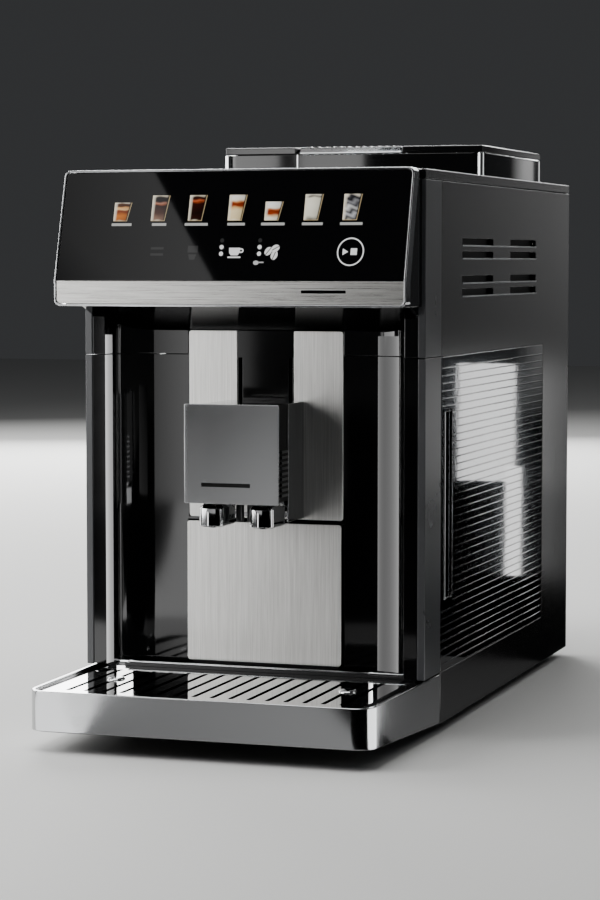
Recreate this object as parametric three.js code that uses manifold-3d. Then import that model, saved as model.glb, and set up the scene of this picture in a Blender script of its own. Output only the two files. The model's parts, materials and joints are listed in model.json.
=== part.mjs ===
// A countertop bean-to-cup coffee machine: housing, control head, hopper block with three lids,
// drip tray with grounds bin, height-adjustable spout, side water tank, and the grinder,
// brew unit, boiler and pump inside.
// Millimetres. +X is the viewer's right, +Y runs from front to rear, +Z is up.
// Pieces are drawn with Y = 0 on the front of the columns and Z = 0 just under the housing.

import * as THREE from "three";
import { mergeVertices } from "three/addons/utils/BufferGeometryUtils.js";
import Module from "manifold-3d";

const wasm = await Module();
wasm.setup();

// Driving dimensions.
const gap = 0.3; // between pieces that touch
const wall = 2.5; // moulded shells
const body = { half: 120, rear: 416.8, bottom: 1, shoulder: 364.4, top: 370.9 };
const foot = { r: 12, height: 5.7, x: 98, frontY: 64, rearY: 390 };
const column = { half: 114.5, edge: 105.5, arcX: 80.5, arcR: 25, backY: 27.5, bottom: 36.8, seamZ: 247.9 };
const trim = { width: 5.2, depth: 38.3, bottom: 36.3 };
const head = { half: 120.9, front: -49.6, bottom: 281.6, kneeZ: 298.4, top: 371, leanY: 20.1, depth: 11 };
const bezel = { lip: 1.3, corner: 4 };
const ceiling = { z: 281.3, flatEnd: -20, rearY: 27.2, rearZ: 264.7, half: 114.2 };
const plate = { half: 55, bottom: 137.1, top: 264.1, thick: 1, corner: 2, slotHalf: 20.3, slotBottom: 150 };
const vent = { y0: 91, y1: 305, height: 4.5, lowerEdges: [287.4, 296.4, 313.1, 322] };
const tankWindow = { y1: 329.5, z0: 36.1, z1: 247.7 };
const door = { y0: 90, y1: 270, z0: 40, z1: 244 };
const hopper = { half: 100, y0: 222, y1: 402, corner: 9, frameTop: 390, lidTop: 395.5, wall: 3 };
const lidEdges = { ground: [-99.7, -43.9], bean: [-41, 37.7], accessory: [38.1, 99.7] };
const band = { front: -109.5, rear: 37.6, frontHalf: 116.5, rearHalf: 120, corner: 13, top: 34.9, thick: 2.5 };
const slope = { frontZ: 8.6, rearZ: 1.6, lip: 2 }; // the tray's underside rises towards its front
const grid = { half: 108, front: -104.5, rear: 12, notchHalf: 102.5, z: 32, thick: 2, slots: 16, pitch: 12.4 };
const gridSlot = { y0: -95, y1: -4, width: 3.6 };
const gridStud = { x: 80.6, y: -43, r: 5, margin: 9 };
const bin = { half: 52, y0: 25, y1: 148, z0: 8, z1: 133.4, wall: 2 };
const binPlate = { half: 55, y0: 23, z0: 39, z1: 134.6, thick: 1.2 };
const spoutSlit = { x: 17.9, half: 1.4, z0: 158, z1: 246 };
const spout = { half: 27.5, top: 217, wingBottom: 138.5, wingFront: -4.7, rear: 26.8, wall: 1.2 };
const cover = { half: 27, front: -38.9, rear: -5.2, bottom: 153, wall: 1.8 };
const face = { half: 32.8, z0: 152.6, z1: 217.9, front: -40.2, thick: 1 };
const nozzle = { x: 18, half: 9.6, front: -35.5, rear: -9, tipZ: 135.8, neckZ: 151 };
const tank = { x0: 74, y0: 38.9, y1: 329.2, z0: 36.5, rimZ: 239.7, lidTop: 246, brim: 247.4, wall: 2.2 };
const grip = { y0: 48, y1: 66, z0: 85, z1: 210, depth: 18 };
const dock = { y: 300, z: 56 };
const bay = { x0: 70, x1: 114.4, y0: 36.5, y1: 332.5, z0: 32.2, z1: 271, wall: 2 };
const grinder = { x: -2, y: 310, z0: 290, z1: 329.7, r: 38, boreR: 24 };
const brew = { x: -60, y: 205, z0: 70, z1: 230, half: 35, boreR: 22 };
const inlet = { x: 84, z: 41, halfX: 15, halfZ: 11.5 };
const rocker = { x: 47, z: 41, halfX: 6.5, halfZ: 10 };

// Finishes.
const finish = (color, roughness, metalness = 0, extra = {}) =>
  new THREE.MeshStandardMaterial({ color, roughness, metalness, ...extra });
const glossBlack = finish(0x0b0b0c, 0.08);
const satinBlack = finish(0x17181a, 0.35);
const greyEdge = finish(0x4a4b4d, 0.35, 0.4);
const silver = finish(0xc9cacb, 0.14, 1);
const brushedSteel = finish(0xb4b3b0, 0.34, 1);
const polishedSteel = finish(0xcfd0d0, 0.08, 1);
const chrome = finish(0xdcdddd, 0.05, 1);
const darkGlass = finish(0x050506, 0.04);
const smoked = finish(0x3c4145, 0.12, 0, { transparent: true, opacity: 0.45 });
const rubber = finish(0x1a1a1a, 0.8);
const boardGreen = finish(0x1d4a2e, 0.5);
const aluminium = finish(0xa8aaac, 0.4, 1);
const greyPlastic = finish(0x6d7072, 0.55);
const copper = finish(0xa86a45, 0.35, 1);

// Shapes.
const quarter = Math.PI / 2;
const box = (x0, x1, y0, y1, z0, z1) =>
  new THREE.BoxGeometry(x1 - x0, y1 - y0, z1 - z0).translate((x0 + x1) / 2, (y0 + y1) / 2, (z0 + z1) / 2);
const polygon = (points) => new THREE.Shape(points.map(([u, v]) => new THREE.Vector2(u, v)));
const yzPlane = new THREE.Matrix4().set(0, 0, 1, 0, 1, 0, 0, 0, 0, 1, 0, 0, 0, 0, 0, 1);
const xzPlane = new THREE.Matrix4().set(1, 0, 0, 0, 0, 0, -1, 0, 0, 1, 0, 0, 0, 0, 0, 1);
const alongZ = (shape, z0, z1, curveSegments = 3) =>
  new THREE.ExtrudeGeometry(shape, { depth: z1 - z0, bevelEnabled: false, curveSegments }).translate(0, 0, z0);
const alongX = (shape, x0, x1, segments) => alongZ(shape, x0, x1, segments).applyMatrix4(yzPlane);
const alongY = (shape, y0, y1, segments) => alongZ(shape, -y1, -y0, segments).applyMatrix4(xzPlane);
const cylinderY = (r0, r1, y0, y1, sides = 24) =>
  new THREE.CylinderGeometry(r1, r0, y1 - y0, sides).translate(0, (y0 + y1) / 2, 0);
const cylinderZ = (r0, r1, z0, z1, sides) => cylinderY(r0, r1, z0, z1, sides).rotateX(quarter);
const cylinderX = (r0, r1, x0, x1, sides) => cylinderY(r0, r1, x0, x1, sides).rotateZ(-quarter);

function roundedRect(u0, u1, v0, v1, r) {
  return new THREE.Shape()
    .moveTo(u0 + r, v0)
    .lineTo(u1 - r, v0)
    .absarc(u1 - r, v0 + r, r, -quarter, 0)
    .lineTo(u1, v1 - r)
    .absarc(u1 - r, v1 - r, r, 0, quarter)
    .lineTo(u0 + r, v1)
    .absarc(u0 + r, v1 - r, r, quarter, 2 * quarter)
    .lineTo(u0, v0 + r)
    .absarc(u0 + r, v0 + r, r, 2 * quarter, 3 * quarter);
}

// Boolean joins and cuts.
function solid(geometry) {
  const bare = geometry.clone();
  bare.deleteAttribute("normal");
  bare.deleteAttribute("uv");
  const merged = mergeVertices(bare, 1e-3);
  const triVerts = new Uint32Array(merged.index.array);
  const vertProperties = merged.attributes.position.array;
  return new wasm.Manifold(new wasm.Mesh({ numProp: 3, vertProperties, triVerts }));
}

function geometryOf(made) {
  const { vertProperties, triVerts } = made.getMesh();
  const geometry = new THREE.BufferGeometry();
  geometry.setAttribute("position", new THREE.BufferAttribute(vertProperties, 3));
  geometry.setIndex(new THREE.BufferAttribute(triVerts, 1));
  geometry.computeVertexNormals();
  return geometry;
}

const join = (...pieces) => geometryOf(pieces.map(solid).reduce((a, b) => a.add(b)));
const cut = (base, ...tools) => geometryOf(tools.map(solid).reduce((a, b) => a.subtract(b), solid(base)));
const common = (a, b) => geometryOf(solid(a).intersect(solid(b)));
const tub = (x0, x1, y0, y1, z0, z1, t) =>
  cut(box(x0, x1, y0, y1, z0, z1), box(x0 + t, x1 - t, y0 + t, y1 - t, z0 + t, z1 + 1));

// The scene graph: one group for each rigid body of the machine.
const machine = new THREE.Group();
machine.position.set(0, -(band.front + body.rear) / 2, foot.height - gap * 2 - 0.1);

function group(parent, x = 0, y = 0, z = 0) {
  const made = new THREE.Group();
  made.position.set(x, y, z);
  parent.add(made);
  return made;
}

function add(parent, name, geometry, material, x = 0, y = 0, z = 0) {
  const mesh = new THREE.Mesh(geometry, material);
  mesh.name = name;
  mesh.position.set(x, y, z);
  parent.add(mesh);
  return mesh;
}

// Housing.
function basePan(parent) {
  const x = body.half - wall - gap;
  const y0 = band.rear + 1.3;
  const y1 = body.rear - wall - gap;
  const rim = 12;
  const notch = bin.half + 6; // the tray's rear shelf slides through the front rim
  const pan = cut(
    box(-x, x, y0, y1, body.bottom, rim),
    box(-x + wall, x - wall, y0 + wall, y1 - wall, body.bottom + wall, rim + 1),
    box(-notch, notch, y0 - 1, y0 + wall + 1, body.bottom + wall, rim + 1),
  );
  add(parent, "base_pan", pan, satinBlack);
}

function feet(parent) {
  const top = body.bottom - gap;
  for (const [row, y] of [["front", foot.frontY], ["rear", foot.rearY]])
    for (const [side, sign] of [["left", -1], ["right", 1]])
      add(parent, `foot_${row}_${side}`, cylinderZ(foot.r - 1, foot.r, top - foot.height, top, 20), rubber,
        sign * foot.x, y);
}

const ventSlots = (x0, x1) =>
  vent.lowerEdges.map((z) => box(x0, x1, vent.y0, vent.y1, z, z + vent.height));

function sidePanels(parent) {
  const y0 = trim.depth + gap;
  const x0 = body.half - wall;
  const z1 = body.shoulder - gap;
  const panel = (a, b) => box(a, b, y0, body.rear, body.bottom, z1);
  const window = box(x0 - 1, body.half + 1, y0 - 1, tankWindow.y1, tankWindow.z0, tankWindow.z1);
  add(parent, "right_side_panel", cut(panel(x0, body.half), window, ...ventSlots(x0 - 1, body.half + 1)),
    satinBlack);
  const doorway = box(-body.half - 1, -x0 + 1, door.y0, door.y1, door.z0, door.z1);
  add(parent, "left_side_panel", cut(panel(-body.half, -x0), doorway, ...ventSlots(-body.half - 1, -x0 + 1)),
    satinBlack);
}

function rearCover(parent) {
  const x = body.half - wall - gap;
  const y0 = body.rear - wall;
  const slots = [];
  for (let row = 0; row < 6; row++) {
    const z = 250 + row * 14;
    slots.push(box(-80, -5, y0 - 1, body.rear + 1, z, z + 5), box(5, 80, y0 - 1, body.rear + 1, z, z + 5));
  }
  const x0 = rocker.x - rocker.halfX - 5;
  const x1 = inlet.x + inlet.halfX + 3;
  const entry = box(x0 - gap, x1 + gap, y0 - 1, body.rear + 1, 26 - gap, 56 + gap);
  add(parent, "rear_cover", cut(box(-x, x, y0, body.rear, body.bottom, body.shoulder - gap), entry, ...slots),
    satinBlack);
}

function topCover(parent) {
  const { half, rear, shoulder, top } = body;
  const cap = cut(
    box(-half, half, 0, rear, shoulder, top),
    box(-half + wall, half - wall, wall, rear - wall, shoulder - 1, top - wall),
    box(-97.5, 97.5, hopper.y0 + 2.5, hopper.y1 - 2.5, shoulder - 1, top + 1),
  );
  add(parent, "top_cover", cap, satinBlack);
}

function cornerTrims(parent) {
  const seam = 0.2;
  const spans = [["lower", trim.bottom, column.seamZ - seam], ["upper", column.seamZ + seam, body.shoulder - gap]];
  for (const [level, z0, z1] of spans)
    for (const [side, x0] of [["left", -body.half], ["right", body.half - trim.width]])
      add(parent, `${level}_${side}_trim`, box(x0, x0 + trim.width, 0, trim.depth, z0, z1), greyEdge);
}

// Plan outline of the front moulding: column faces, hollow quarter rounds and the flat back wall.
function fasciaPlan() {
  const { half, edge, arcX, arcR } = column;
  return new THREE.Shape()
    .moveTo(-half, 0)
    .lineTo(-edge, 0)
    .absarc(-arcX, wall, arcR, 2 * quarter, quarter, true)
    .absarc(arcX, wall, arcR, quarter, 0, true)
    .lineTo(edge, 0)
    .lineTo(half, 0)
    .lineTo(half, wall)
    .absarc(arcX, wall, arcR + wall, 0, quarter)
    .absarc(-arcX, wall, arcR + wall, quarter, 2 * quarter)
    .lineTo(-half, wall);
}

// Everything above the sloped ceiling, lowered by a clearance.
function aboveCeiling(clearance) {
  const { z, flatEnd, rearY, rearZ } = ceiling;
  const low = [[-60, z], [flatEnd, z], [rearY, rearZ], [60, rearZ]].map(([y, h]) => [y, h - clearance]);
  return alongX(polygon([...low, [60, 400], [-60, 400]]), -130, 130);
}

// The two upright slits that the spout's legs slide in, widened by a margin.
const spoutSlits = (margin) =>
  [-1, 1].map((sign) =>
    box(sign * spoutSlit.x - spoutSlit.half - margin, sign * spoutSlit.x + spoutSlit.half + margin, 20, 40,
      spoutSlit.z0 - margin, spoutSlit.z1 + margin));

function frontFascia(parent) {
  const seam = 0.2;
  const pocket = box(-plate.half - gap, plate.half + gap, column.backY - 1, column.backY + 1.4,
    plate.bottom - gap, plate.top + 20);
  const binDoorway = box(-bin.half - 4, bin.half + 4, 20, 40, 0, binPlate.z1 + 0.8);
  const lower = alongZ(fasciaPlan(), column.bottom, column.seamZ - seam, 6);
  add(parent, "lower_fascia", cut(lower, pocket, binDoorway, ...spoutSlits(0.4)), glossBlack);
  const upper = alongZ(fasciaPlan(), column.seamZ + seam, ceiling.z, 6);
  add(parent, "upper_fascia", cut(upper, pocket, aboveCeiling(gap)), glossBlack);
}

function backPlate(parent) {
  const y0 = column.backY - 0.1;
  const slot = box(-plate.slotHalf, plate.slotHalf, y0 - 1, y0 + 3, plate.slotBottom, plate.top + 1);
  const sheet = alongY(roundedRect(-plate.half, plate.half, plate.bottom, plate.top, plate.corner),
    y0, y0 + plate.thick);
  add(parent, "upper_steel_plate", cut(sheet, slot), brushedSteel);
  const x = plate.slotHalf - gap;
  const guide = cut(box(-x, x, y0 + 0.2, y0 + 1.2, plate.slotBottom + gap, plate.top), ...spoutSlits(0));
  add(parent, "spout_guide", guide, glossBlack);
}

// Control head.
const leanAt = (z) => head.front + (Math.max(z - head.kneeZ, 0) / (head.top - head.kneeZ)) * head.leanY;

// A slab that follows the leaning face, between two depths behind it.
const leaningSlab = (half, z0, z1, d0, d1) =>
  alongX(polygon([
    [leanAt(z0) + d0, z0], [leanAt(z0) + d1, z0], [leanAt(z1) + d1, z1], [leanAt(z1) + d0, z1],
  ]), -half, half);

function controlHead(parent) {
  const { half, front, bottom, kneeZ, top, depth } = head;
  const side = polygon([
    [front, bottom], [front + depth, bottom], [front + depth, kneeZ],
    [leanAt(top) + depth, top], [leanAt(top), top], [front, kneeZ],
  ]);
  const blockOutline = alongY(roundedRect(-half, half, bottom, top, bezel.corner), -80, 20);
  const inside = alongY(roundedRect(-half + bezel.lip, half - bezel.lip, bottom + bezel.lip,
    top - bezel.lip, bezel.corner - 1), -80, 20);
  add(parent, "panel_bezel", cut(common(alongX(side, -half, half), blockOutline), inside), silver);

  const inner = half - bezel.lip - gap;
  const stripTop = kneeZ - gap;
  const glassTop = top - bezel.lip - gap;
  const opening = alongY(roundedRect(-inner, inner, bottom + bezel.lip + gap, glassTop, bezel.corner - 1), -80, 20);
  add(parent, "control_glass", common(leaningSlab(inner, kneeZ, glassTop, 0.6, 3.6), opening), darkGlass);
  add(parent, "steel_trim_strip", common(box(-inner, inner, front + 0.6, front + 1.8, bottom, stripTop), opening),
    brushedSteel);
  add(parent, "display_board", leaningSlab(100, 304, 362, 5, 6.6), boardGreen);

  const shellFront = depth + gap;
  const shellHalf = 117.5;
  const shellTop = body.top - gap;
  const shellSide = polygon([
    [front + shellFront, ceiling.z], [-gap, ceiling.z], [-gap, shellTop],
    [leanAt(shellTop) + shellFront, shellTop], [front + shellFront, kneeZ],
  ]);
  const hollow = box(-ceiling.half - gap, ceiling.half + gap, -90, 10, 200, shellTop - wall);
  add(parent, "head_shell", cut(alongX(shellSide, -shellHalf, shellHalf), hollow), glossBlack);
}

function headUnderside(parent) {
  const { z, flatEnd, rearY, rearZ, half } = ceiling;
  const front = head.front + head.depth + gap;
  const profile = polygon([
    [front, z], [flatEnd, z], [rearY, rearZ], [rearY + wall, rearZ],
    [rearY + wall, rearZ + wall], [flatEnd + 0.4, z + wall], [front, z + wall],
  ]);
  add(parent, "head_underside", alongX(profile, -half, half), glossBlack);
}

// Hopper block on the top cover.
function hopperBlock(parent) {
  const { half, y0, y1, corner, frameTop } = hopper;
  const z0 = body.top + gap;
  const yIn = [y0 + hopper.wall, y1 - hopper.wall];
  const floorZ = 352;
  const pockets = [[-96.5, -45.5], [-42.5, 37]].map(([a, b]) => box(a, b, ...yIn, z0 - 1, frameTop + 1));
  const tray = tub(39.5, 96.5, yIn[0], yIn[1], floorZ, frameTop, 2);
  const ring = cut(alongZ(roundedRect(-half, half, y0, y1, corner), z0, frameTop), ...pockets,
    box(41, 95, yIn[0] + 1, yIn[1] - 1, z0 - 1, frameTop + 1));
  add(parent, "hopper_frame", join(ring, tray), glossBlack);

  const rim = frameTop - 2;
  const [a, b] = [yIn[0] + gap, yIn[1] - gap];
  const beanOuter = join(box(-42.2, 36.7, a, b, 345, rim),
    cylinderZ(24, 36, grinder.z1 + gap, 346, 20).translate(grinder.x, grinder.y, 0));
  const beans = cut(beanOuter, box(-40.4, 34.9, a + 1.8, b - 1.8, 347, rim + 1),
    cylinderZ(22, 34, grinder.z1 - 0.2, 347.2, 20).translate(grinder.x, grinder.y, 0));
  add(parent, "bean_hopper", beans, smoked);

  const duct = { x0: -84, x1: -62, y0: 229, y1: 248 };
  const chute = cut(
    join(box(-96.2, -45.8, a, b, floorZ, rim), box(duct.x0 - 2, duct.x1 + 2, duct.y0 - 2, duct.y1 + 2, 240, 353)),
    box(-94.2, -47.8, a + 2, b - 2, floorZ + 2, rim + 1),
    box(duct.x0, duct.x1, duct.y0, duct.y1, 239, floorZ + 3),
  );
  add(parent, "ground_coffee_chute", chute, satinBlack);
}

// A lid whose rear edge is rounded about its hinge line.
function lid(parent, name, [x0, x1], material) {
  const t = hopper.lidTop - hopper.frameTop - gap;
  const pivotY = hopper.y1 - t / 2;
  const pivotZ = hopper.lidTop - t / 2;
  const hinge = group(parent, 0, pivotY, pivotZ);
  const side = new THREE.Shape()
    .moveTo(hopper.y0 - pivotY, -t / 2)
    .lineTo(0, -t / 2)
    .absarc(0, 0, t / 2, -quarter, quarter)
    .lineTo(hopper.y0 - pivotY, t / 2);
  add(hinge, name, alongX(side, x0, x1), material);
}

function lids(parent) {
  lid(parent, "ground_coffee_lid", lidEdges.ground, glossBlack);
  lid(parent, "bean_lid", lidEdges.bean, smoked);
  lid(parent, "accessory_lid", lidEdges.accessory, glossBlack);
}

function grindDial(parent) {
  const dial = join(cylinderZ(13, 12, 0, 4, 20), box(-10, 10, -2.2, 2.2, 3, 11));
  add(parent, "grind_dial", dial, satinBlack, 18, 376, 347.3);
}

// Service door in the left side, hinged on its rear edge.
function serviceDoor(parent) {
  const r = wall / 2;
  const length = door.y1 - door.y0 - 2 * gap - r;
  const plan = new THREE.Shape()
    .moveTo(-r, -length)
    .lineTo(r, -length)
    .lineTo(r, 0)
    .absarc(0, 0, r, 0, 2 * quarter);
  const leaf = alongZ(plan, door.z0 + gap, door.z1 - gap);
  const notch = box(-r - 1, 0.3, -length - 1, -length + 5, 130, 154);
  add(group(parent, -body.half + r, door.y1 - gap - r, 0), "service_door", cut(leaf, notch), satinBlack);
}

// Drip tray, sliding out of the front.
function bandPlan(inset, rear) {
  const w = band.frontHalf - inset;
  const flare = band.rearHalf - inset;
  const front = band.front + inset;
  const r = band.corner - inset;
  return new THREE.Shape()
    .moveTo(flare, rear)
    .lineTo(-flare, rear)
    .lineTo(-w, front + r)
    .absarc(-w + r, front + r, r, 2 * quarter, 3 * quarter)
    .absarc(w - r, front + r, r, 3 * quarter, 4 * quarter)
    .lineTo(flare, rear);
}

// Everything below the tray's rising underside.
function belowTray(drop) {
  const under = [[-130, -40], [60, -40], [60, slope.rearZ - drop], [band.rear, slope.rearZ - drop],
    [band.front, slope.frontZ - drop], [-130, slope.frontZ - drop]];
  return alongX(polygon(under), -140, 140);
}

function dripTray(parent) {
  const { rear, top, thick } = band;
  const hoop = cut(alongZ(bandPlan(0, rear), 0, top), alongZ(bandPlan(thick, rear + 1), -1, top + 1),
    belowTray(0));
  add(parent, "tray_band", hoop, silver);

  const seat = grid.z - gap;
  const basin = cut(
    alongZ(bandPlan(thick + gap, rear - 0.4), 0, seat),
    box(-grid.half + 3, grid.half - 3, grid.front + 3, grid.rear - 2, 10.5, seat + 1),
    belowTray(slope.lip - 1.4),
  );
  const shelf = box(-bin.half - 2, bin.half + 2, rear - 8, bin.y1 + 4, 4.2, bin.z0 - gap);
  const landing = box(-bin.half - 1, bin.half + 1, bin.y0 - 1, rear + 1, bin.z0 - gap, seat + 1);
  const ridge = box(-110, 110, grid.rear + 1.2, grid.rear + 4, seat - 1, column.bottom - 2 * gap);
  add(parent, "drip_tray", join(cut(join(basin, shelf), landing), ridge), satinBlack);

  const outline = polygon([
    [-grid.half, grid.front], [grid.half, grid.front], [grid.half, -1.6], [grid.notchHalf, -1.6],
    [grid.notchHalf, grid.rear], [-grid.notchHalf, grid.rear], [-grid.notchHalf, -1.6], [-grid.half, -1.6],
  ]);
  const { y0, y1, width } = gridSlot;
  for (let i = 0; i < grid.slots; i++) {
    const x = (i - (grid.slots - 1) / 2) * grid.pitch;
    const besideStud = Math.abs(Math.abs(x) - gridStud.x) < 1; // this slot stops short of the stud on each side
    const spans = besideStud ? [[y0, gridStud.y - gridStud.margin], [gridStud.y + gridStud.margin, y1]] : [[y0, y1]];
    for (const [a, b] of spans)
      outline.holes.push(roundedRect(x - width / 2, x + width / 2, a, b, width / 2 - 0.01));
  }
  const studs = [-1, 1].map((sign) =>
    cylinderZ(gridStud.r, gridStud.r * 0.5, grid.z + 0.5, grid.z + grid.thick + 1.2, 12)
      .translate(sign * gridStud.x, gridStud.y, 0));
  add(parent.grid, "drip_grid", join(alongZ(outline, grid.z, grid.z + grid.thick, 2), ...studs), polishedSteel);
}

function groundsBin(parent) {
  add(parent, "grounds_bin", tub(-bin.half, bin.half, bin.y0, bin.y1, bin.z0, bin.z1, bin.wall), greyPlastic);
  const { half, y0, z0, z1, thick } = binPlate;
  add(parent, "bin_front_plate", alongY(roundedRect(-half, half, z0, z1, plate.corner), y0, y0 + thick),
    brushedSteel);
}

// Coffee spout, sliding up and down on the back plate.
function coffeeSpout(parent) {
  const { half, top, wingBottom, wingFront, rear } = spout;
  const t = spout.wall;
  const shroud = cut(box(-half, half, wingFront, rear, wingBottom, top),
    box(-half + t, half - t, wingFront - 1, rear - t, wingBottom - 1, top - t));
  const legHalf = spoutSlit.half - 0.6;
  const legs = [-1, 1].map((sign) =>
    box(sign * spoutSlit.x - legHalf, sign * spoutSlit.x + legHalf, rear - 1, 34, 164, 200));
  const shoe = box(-spoutSlit.x - 3, spoutSlit.x + 3, 31.5, 35, 164, 200);
  add(parent, "spout_shroud", join(shroud, ...legs, shoe), silver);

  const x = nozzle.half;
  const outlet = (cx) => join(
    alongZ(roundedRect(cx - x, cx + x, nozzle.front, nozzle.rear, 5), 138.6, nozzle.neckZ + 1, 2),
    cylinderZ(4.4, 6, nozzle.tipZ, 139, 16).translate(cx, (nozzle.front + nozzle.rear) / 2, 0));
  const inside = cover.half - cover.wall - 0.6;
  const block = join(box(-inside, inside, -34, rear - t - gap, nozzle.neckZ, 172),
    outlet(-nozzle.x), outlet(nozzle.x), cylinderZ(4, 5, nozzle.tipZ + 0.4, nozzle.neckZ + 1, 12).translate(0, 4, 0));
  add(parent, "nozzle_block", block, chrome);
}

function spoutCover(parent) {
  const { half, front, rear, bottom } = cover;
  const t = cover.wall;
  const ribs = [];
  for (let i = 0; i < 10; i++)
    for (const sign of [-1, 1]) {
      const z = 161 + i * 2.8;
      ribs.push(box(Math.min(sign * (half - 1), sign * (half + 0.5)), Math.max(sign * (half - 1),
        sign * (half + 0.5)), rear - 14, rear - 1, z, z + 1.4));
    }
  const shell = cut(box(-half, half, front, rear, bottom, spout.top),
    box(-half + t, half - t, front + t, rear + 1, bottom - 1, spout.top - t));
  add(parent, "spout_cover", join(shell, ...ribs), glossBlack);
  add(parent, "spout_face_plate",
    alongY(roundedRect(-face.half, face.half, face.z0, face.z1, 1), face.front, face.front + face.thick, 2), silver);
}

// Water tank in the right side, pulled out sideways.
function waterTank(parent) {
  const { x0, y0, y1, z0, rimZ, lidTop, brim } = tank;
  const t = tank.wall;
  const x1 = body.half;
  const pocketX = x1 - grip.depth;
  const boss = cylinderX(11, 11, x0 + 1, x0 + 16, 20).translate(0, dock.y, dock.z);
  const bore = cylinderX(8, 8, x0 - 1, x0 + 17, 20).translate(0, dock.y, dock.z);
  const shell = cut(
    join(tub(x0, x1, y0, y1, z0, rimZ, t), box(x1 - t, x1, y0, y1, rimZ - 1, brim),
      box(pocketX - 2, x1 - 1, grip.y0 - 2, grip.y1 + 2, grip.z0 - 2, grip.z1 + 2), boss),
    box(pocketX, x1 + 1, grip.y0, grip.y1, grip.z0, grip.z1), bore,
  );
  add(parent, "water_tank", shell, smoked);
  add(parent.lid, "tank_lid", box(x0, x1 - t - 0.6, y0 + gap, y1 - gap, rimZ + gap, lidTop), satinBlack);
  add(parent.valve, "tank_valve", cylinderX(7.4, 7.4, 0, 3, 20), rubber, 82, dock.y, dock.z);
}

function tankBay(parent) {
  const { x0, x1, y0, y1, z0, z1 } = bay;
  const t = bay.wall;
  const hole = cylinderX(8, 8, x0 - 1, x0 + t + 1, 20).translate(0, dock.y, dock.z);
  const liner = cut(box(x0, x1, y0, y1, z0, z1), box(x0 + t, x1 + 1, y0 + 1.6, y1 - t, z0 + t, z1 - t), hole);
  add(parent, "tank_bay", liner, satinBlack);
  const socket = join(cylinderX(14, 14, 60, x0 - gap, 20), cylinderX(5.5, 5.5, 52, 77.6, 16));
  add(parent, "tank_dock", socket, greyPlastic, 0, dock.y, dock.z);
}

// Grinder under the bean hopper.
function grinderUnit(parent, burrs) {
  const { x, y, z0, z1, r, boreR } = grinder;
  const housing = cut(cylinderZ(r, r, z0, z1), cylinderZ(boreR, boreR, z0 + 5, z1 + 1), cylinderZ(6, 6, z0 - 1, z1, 16));
  add(parent, "grinder_body", housing, greyPlastic, x, y);
  const ring = cut(cylinderZ(boreR - gap, boreR - gap, z1 - 16, z1 - 0.5), cylinderZ(19, 16, z1 - 17, z1));
  add(parent, "upper_burr", ring, aluminium, x, y);
  const cone = join(cylinderZ(15.5, 11, z0 + 6, z1 - 2), cylinderZ(4.5, 4.5, z0 + 0.6, z0 + 7, 16),
    box(-11, 11, -2, 2, z1 - 4, z1 - 0.8));
  add(burrs, "lower_burr", cone, aluminium, x, y);
  add(parent, "grinder_motor", cylinderZ(30, 30, 205, z0 - gap), aluminium, x, y);
}

// Brew chamber with its spindle-driven piston.
function brewUnit(parent, spindle, piston) {
  const { x, y, z0, z1, half, boreR } = brew;
  const chamber = cut(box(-half, half, -half, half, z0, z1), cylinderZ(boreR, boreR, z0 + 14, z1 + 1),
    cylinderZ(7, 7, z0 - 1, z0 + 15, 16), box(-half - 1, -half + 8, -20, 20, z0 + 30, z1 - 40));
  add(parent, "brew_chamber", chamber, greyPlastic, x, y);
  const teeth = [];
  for (let i = 0; i < 16; i++)
    teeth.push(box(19, 24, -1.8, 1.8, 0, 8).rotateZ((i / 16) * 4 * quarter));
  const gear = join(cylinderZ(20, 20, 0, 8, 32), cylinderZ(5.5, 5.5, 7, 46, 16), ...teeth);
  add(spindle, "brew_gear", gear, greyPlastic, x, y, z0 - 8.6);
  add(piston, "brew_piston", cylinderZ(boreR - 0.6, boreR - 0.6, 0, 26), aluminium, x, y, z0 + 40);
}

// A hose of round section along a smooth curve.
function hose(points, r) {
  const path = new THREE.CatmullRomCurve3(points.map((p) => new THREE.Vector3(...p)));
  const section = new THREE.Shape().absarc(0, 0, r, 0, 4 * quarter);
  const options = { steps: 18, extrudePath: path, bevelEnabled: false, curveSegments: 4 };
  return new THREE.ExtrudeGeometry(section, options);
}

function waterCircuit(parent) {
  const pump = join(cylinderY(21, 21, 195, 250), box(-14, 14, 205, 240, -26, 0), cylinderY(6, 6, 248, 262, 16));
  add(parent, "water_pump", pump, greyPlastic, 38, 0, 42);
  const boiler = join(cylinderZ(32, 32, 60, 160, 28), cylinderZ(8, 8, 158, 170, 16));
  add(parent, "boiler", boiler, copper, -62, 330, 0);
  add(parent, "suction_hose",
    hose([[51, dock.y, dock.z], [44, dock.y, dock.z - 2], [38.5, 290, 46], [38, 274, 42.5], [38, 262.5, 42]], 3.5),
    rubber);
  add(parent, "pressure_hose",
    hose([[38, 220, 63.4], [38, 221, 90], [30, 250, 150], [0, 290, 185], [-40, 322, 195], [-61, 330, 184],
      [-62, 330, 170.4]], 3), rubber);
}

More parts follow.
